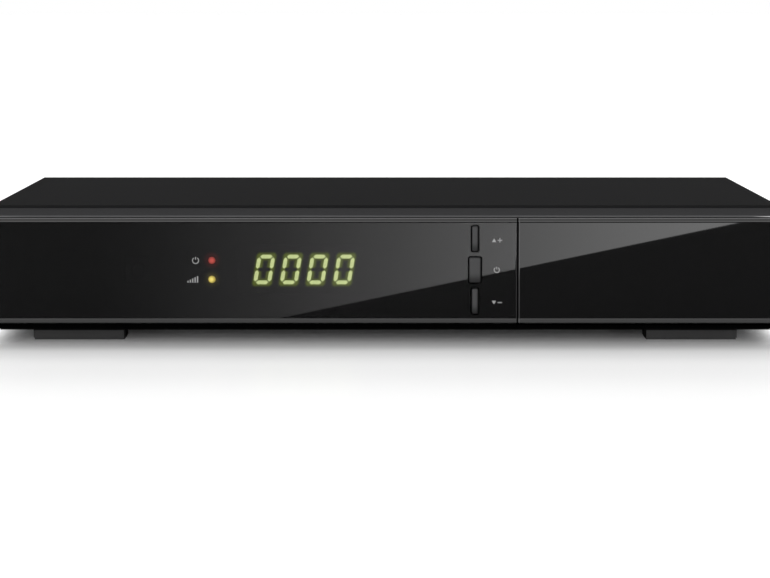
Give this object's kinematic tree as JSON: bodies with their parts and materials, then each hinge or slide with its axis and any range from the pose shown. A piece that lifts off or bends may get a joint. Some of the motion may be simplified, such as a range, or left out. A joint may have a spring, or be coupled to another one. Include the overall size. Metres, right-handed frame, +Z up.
{
  "type": "satellite television receiver",
  "caption": "Low black set-top box with a glossy front panel, green digit display, three upright keys, a hinged flap, four feet and a rear row of aerial, audio-video, serial and mains sockets.",
  "frame": {"origin": "on the floor plane, under the centre of the bounding box", "axes": "+X to the right of someone facing the front, +Y to the back, +Z up"},
  "size_m": [0.2614, 0.1958, 0.0438],
  "materials": {
    "cover_steel": "black powder coat, satin",
    "zinc_steel": "zinc-plated sheet",
    "frame_plastic": "fine satin moulding",
    "panel_gloss": "high gloss smoked panel",
    "carrier_plastic": "plain moulding",
    "foot_rubber": "matte black",
    "black_screws": "black zinc",
    "key_plastic": "satin",
    "plunger_plastic": "plain",
    "switch_plastic": "plain",
    "board_green": "solder mask",
    "board_tan": "bare laminate",
    "plated_screws": "bright zinc",
    "display_black": "plain",
    "lit_green": "lit light bars",
    "dark_bars": "unlit light bars",
    "lamp_red": "lit lamp",
    "lamp_yellow": "lit lamp",
    "receiver_dark": "infrared window",
    "ribbon_grey": "flat cable",
    "reader_black": "plain",
    "tin_plate": "tinned sheet",
    "tongue_white": "plain",
    "nickel": "nickel plated",
    "core_white": "dielectric",
    "block_black": "plain",
    "insert_yellow": "moulded",
    "insert_white": "moulded",
    "insert_red": "moulded",
    "serial_blue": "moulded",
    "chip_black": "epoxy",
    "sink_black": "black anodised",
    "can_blue": "sleeved can",
    "ferrite": "ferrite and tape",
    "sink_bright": "plain",
    "copper_wire": "enamelled winding",
    "lead_brown": "insulated leads",
    "inlet_black": "plain",
    "contact_brass": "plated"
  },
  "bodies": {
    "root": {"top_cover": "cover_steel", "chassis_pan": "zinc_steel", "front_frame": "frame_plastic", "front_lens": "panel_gloss", "foot_front_left": "foot_rubber", "foot_front_right": "foot_rubber", "foot_rear_left": "foot_rubber", "foot_rear_right": "foot_rubber", "cover_screws": "black_screws", "key_switches": "switch_plastic", "front_board": "board_green", "front_board_screws": "plated_screws", "display_housing": "display_black", "display_lit_bars": "lit_green", "display_dark_bars": "dark_bars", "power_lamp": "lamp_red", "signal_lamp": "lamp_yellow", "remote_receiver": "receiver_dark", "front_ribbon": "ribbon_grey", "main_board": "board_green", "board_screws": "plated_screws", "card_reader": "reader_black", "usb_shell": "tin_plate", "usb_tongue": "tongue_white", "tuner_can": "tin_plate", "coax_barrels": "nickel", "coax_cores": "core_white", "coax_nuts": "nickel", "phono_block": "block_black", "phono_sleeves": "nickel", "phono_yellow": "insert_yellow", "phono_white": "insert_white", "phono_red": "insert_red", "scart_shield": "tin_plate", "scart_body": "block_black", "serial_shell": "tin_plate", "serial_body": "serial_blue", "serial_posts": "nickel", "processor": "chip_black", "heat_sink": "sink_black", "board_chips": "chip_black", "board_capacitors": "can_blue", "supply_board": "board_tan", "transformer": "ferrite", "supply_capacitors": "can_blue", "supply_heat_sink": "sink_bright", "mains_choke": "copper_wire", "supply_leads": "lead_brown", "mains_inlet": "inlet_black", "mains_contacts": "contact_brass", "switch_bezel": "inlet_black"},
    "flap": {"flap_skin": "panel_gloss", "flap_carrier": "carrier_plastic"},
    "channel_up_button": {"key_channel_up": "key_plastic", "switch_plunger_up": "plunger_plastic"},
    "power_button": {"key_power": "key_plastic", "switch_plunger_power": "plunger_plastic"},
    "channel_down_button": {"key_channel_down": "key_plastic", "switch_plunger_down": "plunger_plastic"},
    "mains_switch": {"mains_rocker": "inlet_black"}
  },
  "joints": [
    {"name": "flap_hinge", "type": "hinge", "parent": "root", "child": "flap", "pos_m": [0, -0.09435, 0.0094], "axis": [1, 0, 0], "range_deg": [0, 90]},
    {"name": "channel_up_press", "type": "slide", "parent": "root", "child": "channel_up_button", "axis": [0, 1, 0], "range_m": [0, 0.0005], "stiffness_N_per_m": 1500, "springref_m": -0.0005},
    {"name": "power_press", "type": "slide", "parent": "root", "child": "power_button", "axis": [0, 1, 0], "range_m": [0, 0.0005], "stiffness_N_per_m": 1500, "springref_m": -0.0005},
    {"name": "channel_down_press", "type": "slide", "parent": "root", "child": "channel_down_button", "axis": [0, 1, 0], "range_m": [0, 0.0005], "stiffness_N_per_m": 1500, "springref_m": -0.0005},
    {"name": "mains_rock", "type": "hinge", "parent": "root", "child": "mains_switch", "pos_m": [-0.0863, 0.08585, 0.0237], "axis": [1, 0, 0], "range_deg": [0, 18]}
  ]
}
